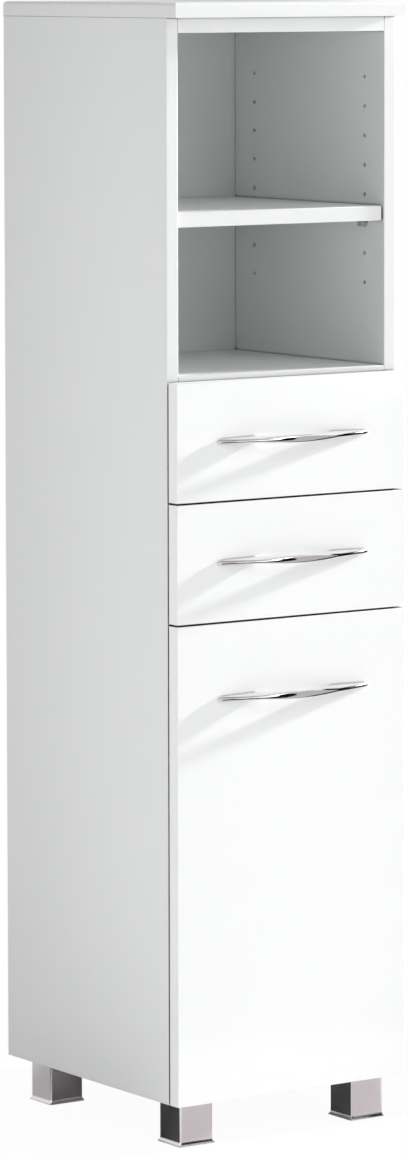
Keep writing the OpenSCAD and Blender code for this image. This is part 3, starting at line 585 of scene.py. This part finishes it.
# the key lamp grazes the fronts and casts the handles' long shadows
lamps = {
    "keyLamp": {"place": (8.0, -0.95, 3.4), "aim": (0, -0.156, 0.63), "size": (0.95, 0.25), "power": 1270},
    "frontLamp": {"place": (1.1, -3.0, 1.5), "aim": (0, 0, 0.7), "size": (1.6, 2.2), "power": 7.9},
    "highLamp": {"place": (0.9, -2.6, 2.6), "aim": (0, 0, 0.75), "size": (1.4, 1.2), "power": 12.9},
    "sideLamp": {"place": (-0.6, -0.1, 0.68), "aim": (-0.1, -0.148, 0.68), "size": (0.08, 1.34),
                 "power": 1.02},
}


def softLamp(name, values):
    lamp = bpy.data.lights.new(name, "AREA")
    lamp.shape = "RECTANGLE"
    lamp.size, lamp.size_y = values["size"]
    lamp.energy = values["power"]
    piece = bpy.data.objects.new(name, lamp)
    piece.location = values["place"]
    towards = Vector(values["aim"]) - Vector(values["place"])
    piece.rotation_euler = towards.to_track_quat("-Z", "Y").to_euler()
    piece.visible_camera = False
    scene.collection.objects.link(piece)


# studio cards that only reflections see, as a photographer puts them round a shiny piece
cardFinish = {"tint": (1.0, 0.93, 0.96), "streakDark": (0.7, 0.62, 0.65), "streakLight": (1.25, 1.22, 1.23),
              "streakScale": 14, "streakStretch": (0.15, 0.15, 1)}


def cardMaterial(name, brightness, streaks=False):
    values = cardFinish
    material = bpy.data.materials.new(name)
    material.use_nodes = True
    nodes = material.node_tree.nodes
    nodes.remove(nodes["Principled BSDF"])
    glow = addNode(material, "ShaderNodeEmission", Color=(*values["tint"], 1), Strength=brightness)
    if streaks:
        where = addNode(material, "ShaderNodeTexCoord")
        bands = noise(material, where, values["streakScale"], 4, values["streakStretch"], 0.7)
        tint = blend(material, bands, "Fac", values["streakDark"], values["streakLight"])
        link(material, tint, mixSocket["result"], glow, "Color")
    link(material, glow, "Emission", nodes["Material Output"], "Surface")
    return material


def stageOnly(bm, name, material, seenBy):
    card = stageMesh(bm, name, material)
    card.visible_camera = False
    card.visible_diffuse = False
    card.visible_transmission = False
    card.visible_volume_scatter = False
    card.visible_glossy = seenBy == "gloss"
    card.visible_shadow = seenBy == "shadow"


# upright cards: middle of the foot, width, height, turn about the upright, brightness
uprightCards = {
    "paleCard": ((0.357, -0.533, 0.0), 0.3, 1.02, 45, 0.52),
    "greyCardLeft": ((-0.32, -0.8, 0.0), 0.42, 1.6, -24, 0.62),
}


def uprightCard(name, place, width, height, turn, brightness):
    bm = bmesh.new()
    bmesh.ops.create_grid(bm, x_segments=1, y_segments=1, size=0.5)
    bmesh.ops.translate(bm, verts=bm.verts, vec=(0, 0.5, 0))
    bmesh.ops.scale(bm, verts=bm.verts, vec=(width, height, 1))
    stand = Matrix.Rotation(math.radians(turn), 4, "Z") @ Matrix.Rotation(math.pi / 2, 4, "X")
    bmesh.ops.transform(bm, verts=bm.verts, matrix=Matrix.Translation(place) @ stand)
    stageOnly(bm, name, cardMaterial(name, brightness, streaks=True), "gloss")


# level cards: height, brightness, corners
levelCards = {
    # the floor that the feet mirror: a dark sheet, seen only in reflections, that paints the shade under the
    # cabinet and darkens the floor behind its left side; grey in front
    "darkCardFloor": (0.0012, 0.022, [(-0.19, -0.14), (0.16, -0.14), (0.16, 0.12), (-0.21, 0.1),
                                      (-0.55, 0.6), (-0.72, 0.44)]),
    "greyCardFloor": (0.0012, 0.8, [(-0.2, -0.17), (0.2, -0.17), (1.2, -1.5), (0.35, -1.5)]),
    # black ones that the undersides of the handles mirror
    "lowCardLeft": (0.1, 0.004, [(-0.1, -0.19), (0.08, -0.19), (0.45, -0.94), (0.17, -1.03), (-0.2, -1.0)]),
    "lowCardRight": (0.1, 0.004, [(0.07, -0.19), (0.77, -0.7), (0.97, -0.3), (0.98, 0.0), (0.16, -0.14)]),
    # grey ones for the tops of the handles
    "highCardLeft": (1.3, 0.3, [(-0.3, -0.2), (0.0, -0.2), (0.5, -1.55), (-0.5, -1.6)]),
    "highCardRight": (1.3, 0.58, [(0.0, -0.22), (0.5, -0.22), (0.5, -0.6), (0.16, -0.6)]),
}


def levelCard(name, height, brightness, corners):
    bm = bmesh.new()
    bm.faces.new([bm.verts.new((x, y, height)) for x, y in corners])
    stageOnly(bm, name, cardMaterial(name, brightness), "gloss")


# black cards that make the dark marks in the chrome. Each corner lies in the direction that the middle handle
# mirrors at a place on it: place along the handle, azimuth from straight ahead, elevation
blackCard = {"from": "lower_handle", "reach": 0.9, "brightness": 0.004, "lowest": 0.002}
blackCards = {
    "blackCardFront": [(-0.045, 14, -40), (-0.043, 15, -20), (-0.034, 19, 0), (-0.027, 22, 22),
                       (-0.022, 24, 34), (-0.0077, 31, 34), (-0.0077, 31, -40)],
    "blackCardRight": [(0.038, 54, -38), (0.038, 54, -20), (0.042, 56, 8), (0.046, 58, 26),
                       (0.059, 65, 28), (0.084, 76, 40), (0.0975, 84, 44), (0.0975, 100, 44),
                       (0.0975, 100, -38)],
}


def standingBlackCard(name, corners):
    values = blackCard
    low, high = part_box(values["from"])
    middleZ = (low.z + high.z) / 2
    bm = bmesh.new()
    verts = []
    for x, azimuth, elevation in corners:
        turn, lift = math.radians(azimuth), math.radians(elevation)
        ray = Vector((math.sin(turn), -math.cos(turn), math.tan(lift)))
        corner = Vector((x, high.y - handleFront(x), middleZ)) + ray * values["reach"]
        corner.z = max(corner.z, values["lowest"])
        verts.append(bm.verts.new(corner))
    bm.faces.new(verts)
    bmesh.ops.triangulate(bm, faces=bm.faces)
    stageOnly(bm, name, cardMaterial(name, values["brightness"]), "gloss")


# keeps the grazing key lamp off the right side, which would burn out, but not off the fronts. It is stepped,
# because the open compartment's frame lies further back than the fronts
flag = {"x": 0.4, "rear": 0.24, "front": -0.18, "frontAbove": -0.157, "step": 0.88, "slope": 0.01, "top": 1.5}


def sideFlag():
    values = flag
    outline = [(values["rear"], 0), (values["front"], 0), (values["front"], values["step"]),
               (values["frontAbove"], values["step"] + values["slope"]),
               (values["frontAbove"], values["top"]), (values["rear"], values["top"])]
    bm = bmesh.new()
    bm.faces.new([bm.verts.new((values["x"], y, z)) for y, z in outline])
    stageOnly(bm, "sideFlag", cardMaterial("flagCloth", 0.0), "shadow")


# the photograph's camera: place in metres, angles in degrees, focal length, shift and height in its pixels
view = {"place": (-3.2436, -4.6941, 1.26386), "yaw": 34.5857, "pitch": 4.2273, "roll": -0.1107,
        "focal": 5240.5, "shift": 232, "pictureHeight": 1160, "sensor": 36, "farthest": 100}


def buildCamera():
    data = bpy.data.cameras.new("photoCamera")
    data.lens = view["focal"] / view["pictureHeight"] * view["sensor"]
    data.sensor_width = view["sensor"]
    data.shift_y = -view["shift"] / view["pictureHeight"]
    data.clip_end = view["farthest"]
    camera = bpy.data.objects.new("photoCamera", data)
    turn = (Matrix.Rotation(-math.radians(view["yaw"]), 4, "Z")
            @ Matrix.Rotation(math.pi / 2 - math.radians(view["pitch"]), 4, "X")
            @ Matrix.Rotation(math.radians(view["roll"]), 4, "Z"))
    camera.matrix_world = Matrix.Translation(view["place"]) @ turn
    scene.collection.objects.link(camera)
    scene.camera = camera


buildFloor()
buildWorld()
for name, values in uprightCards.items():
    uprightCard(name, *values)
for name, values in levelCards.items():
    levelCard(name, *values)
for name, corners in blackCards.items():
    standingBlackCard(name, corners)
sideFlag()
for name, values in lamps.items():
    softLamp(name, values)
buildCamera()
scene.view_settings.view_transform = "Standard"
print("cabinet: the stage is set")

print("cabinet: done")
